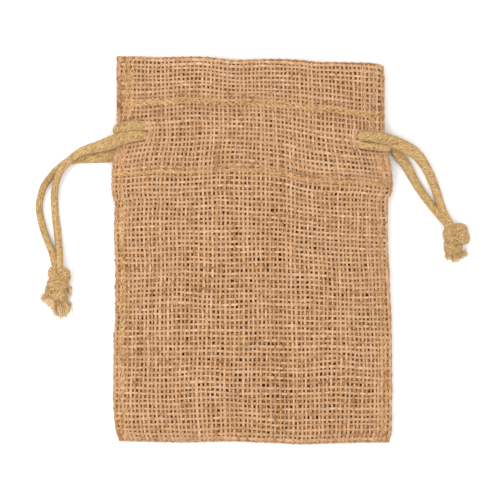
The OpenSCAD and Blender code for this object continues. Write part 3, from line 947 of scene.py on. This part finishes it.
def seam_allowance(side):
    """The cloth's folded edges inside a side seam, densely woven."""
    strands = Strands()
    rows = np.arange(-85, TOP_ROW - 2, 1.15)
    count = 6
    first, last = 1.6, 8.4  # the allowance's warp yarns, as distances in from the side edge
    for layer, inward in (("front", -1), ("back", 1)):
        wide = side_width(side, rows)
        hem = np.clip((rows - HEM_ROW) / 2, 0, 1)
        grid = []
        for step in np.linspace(first, last, count):
            part = side * (wide - step) / wide
            line = cloth_point(layer, part, rows)
            line[:, 2] += inward * (LAYER + hem * LAYER * 0.95)
            if layer == "back":
                line[:, 2] += 0.3 * casing(rows)
            grid.append(line)
        grid = np.array(grid)
        for k, line in enumerate(grid):
            order = np.arange(len(rows))
            wave = CRIMP * (-1.0) ** (order // 2 + k) * (order % 2 == 0)
            size = 1.3 * (1 + wander(len(rows), 4, 0.1))
            strands.add(line + (0, 0, 1) * wave[:, None], (0, 0, 1), size, YARN_T,
                        tone=0.52 + wander(len(rows), 9, 0.06))
        for j in range(0, len(rows), 2):
            line = grid[:, j]
            wave = -CRIMP * (-1.0) ** (j // 2 + np.arange(count))
            strands.add(line + (0, 0, 1) * wave[:, None], (0, 0, 1), 1.45, YARN_T,
                        tone=0.5 + RNG.normal(0, 0.05))
    return strands


def stitch_run(strands, route, face, count, wobble, period, size, swing=0, tone=0.5, sink=0):
    """Fine threads that run together along a route over the cloth, swing from side to side, dip into
    the cloth at each stitch and sink that far between its yarns."""
    place = np.concatenate([[0], np.cumsum(np.linalg.norm(np.diff(route, axis=0), axis=1))])
    n = len(route)
    for k in range(count):
        phase = RNG.uniform(0, 1)
        dip = np.abs(np.sin(math.pi * (place / period + phase))) ** 0.6
        height = 0.1 + 0.6 * dip + wander(n, 3, 0.2) - sink
        side = wander(n, 3, wobble) + (k - (count - 1) / 2) * wobble * 1.1
        zigzag = np.arcsin(np.sin(2 * math.pi * (place / period + phase))) / 1.57
        side = side + swing * zigzag
        along = unit(np.gradient(route, axis=0))
        left = unit(np.cross((0, 0, 1), along))
        line = route + left * side[:, None]
        line[:, 2] = route[:, 2] + face * height
        strands.add(line, (0, 0, 1), size * (1 + wander(n, 3, 0.15)), size * 0.9,
                    tone=tone + wander(n, 5, 0.14), twist=2)


def cross_route(layer, row):
    """A stitch line's route across a layer, from side seam to side seam."""
    part = np.arange(-0.985, 0.9851, 0.011)
    return cloth_point(layer, part, np.full(len(part), row))


for name, row in (("upper", UPPER_ROW), ("lower", LOWER_ROW)):
    for layer in ("front", "back"):
        seam = Strands(5)
        route = cross_route(layer, row)
        if layer == "back":
            stitch_run(seam, route, -0.55, 3, 0.3, 4.6, 0.46)
        else:
            stitch_run(seam, route, 1, 5, 0.44, 4.6, 0.27, swing=0.4, tone=0.54, sink=0.1)
            stitch_run(seam, route + (0, 0.2, 0), 1, 2, 0.5, 3.1, 0.32, swing=0.9, tone=0.62)
        piece = finish_piece(seam.build(f"{layer}_{name}_stitching"), THREAD, "sewing_thread",
                             f"{layer}_{name}_stitch")
        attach(piece, "pouch")

# The overlock threads of each side seam: how far in from the side edge they run down the body and up
# the header, their width and swing, and how far they sink between the yarns of body and header.
OVERLOCK = {
    "left": [
        (2, 2.6, 0.42, 0.5, 0.3, -0.1),
        (3, 4.3, 0.42, 0.7, 0.34, -0.15),
        (4, 5.8, 0.42, 0.7, 0.42, -0.1),
    ],
    "right": [
        (2, 2.2, 0.32, 0.5, 0.4, 0.4),
        (3, 3.4, 0.3, 0.6, 0.42, 0.4),
        (4, 8.6, 0.32, 0.3, 0.44, 0.05),
    ],
}

for side, name in ((-1, "left"), (1, "right")):
    # The seam allowances take the darker copy of the jute too: painted shade.
    piece = finish_piece(seam_allowance(side).build(f"{name}_seam_cloth"), HEM_JUTE_SHADED, "jute_hem",
                         f"{name}_seam_allowance")
    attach(piece, "pouch")
    seam = Strands(5)
    rows = np.arange(-85.5, TOP_ROW - 1.5, 0.75)
    wide = side_width(side, rows)
    header = np.clip((rows - 60) / 6, 0, 1)
    for low, high, size, swing, low_sink, high_sink in OVERLOCK[name]:
        part = side * (wide - low - (high - low) * header + wander(len(rows), 5, 0.3)) / wide
        route = cloth_point("front", part, rows)
        stitch_run(seam, route, 1, 2, 0.3, 3.3, size, swing=swing, tone=0.5 + 0.08 * header,
                   sink=low_sink + (high_sink - low_sink) * header)
        stitch_run(seam, cloth_point("back", part, rows), -0.5, 1, 0.3, 4.8, size, swing=0.4)
    piece = finish_piece(seam.build(f"{name}_overlock"), THREAD, "sewing_thread", f"{name}_seam_thread")
    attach(piece, "pouch")


HAIRY_WIDTH, HAIRY_HEIGHT = 126, 175  # the part of a layer that its stray fibres start on
HAIR_END_ROW = 88  # they stay between these rows
HAIR_T = 0.4  # and are never thicker than this


def hairs(layer, count, length, depth, lift, width, tone):
    """Stray fibres of the jute along a layer of the cloth: how long they are, how far above its middle
    they start, how far they bow away from it, how wide they are, and their tone."""
    strands = Strands(3)
    steps = 6
    t = np.linspace(0, 1, steps)
    for k in range(count):
        heading, own = RNG.uniform(0, 2 * math.pi), RNG.uniform(*length)
        turn = heading + np.cumsum(RNG.normal(0, 0.3, steps))
        # the plane's two golden fractions spread the starts evenly without a pattern
        x = HAIRY_WIDTH * ((0.5 + 0.75487767 * k) % 1 - 0.5) + np.cumsum(np.cos(turn)) * own / steps
        y = HAIRY_HEIGHT * ((0.5 + 0.56984029 * k) % 1 - 0.5) + np.cumsum(np.sin(turn)) * own / steps
        y = np.clip(y, -HAIR_END_ROW, HAIR_END_ROW)
        line = cloth_point(layer, np.clip(x * 2 / HAIRY_WIDTH, -1, 1), y)
        line[:, 2] += RNG.uniform(*depth) + lift * np.sin(math.pi * t) * RNG.uniform(0.3, 1.2)
        size = RNG.uniform(*width) * np.interp(t, (0, 0.2, 0.8, 1), (0.6, 1, 1, 0.5))
        strands.add(line, (0, 0, 1), size, np.minimum(size, HAIR_T), tone=RNG.uniform(*tone), twist=0)
    return strands


# The lint under the front is wide enough to cover most holes: real loose fibres whose colour is painted
# shade.
for name, material, *shape in (
    ("front_stray_fibres", JUTE, "front", 2400, (2.5, 9), (0.3, 0.45), 0.5, (0.1, 0.2), (0.45, 0.8)),
    ("front_shaded_lint", LINT_SHADED, "front", 6200, (3, 5.5), (-1, -0.6), 0.05, (1.8, 2.8), (0.4, 0.6)),
    ("back_stray_fibres", JUTE, "back", 600, (2.5, 8), (-0.5, -0.35), -0.1, (0.1, 0.2), (0.4, 0.7)),
    ("back_shaded_lint", LINT_SHADED, "back", 6000, (3, 6), (0.3, 0.9), 0.1, (0.4, 0.8), (0.5, 0.8)),
):
    piece = finish_piece(hairs(*shape).build(name), material, "jute_cloth")
    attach(piece, "pouch")
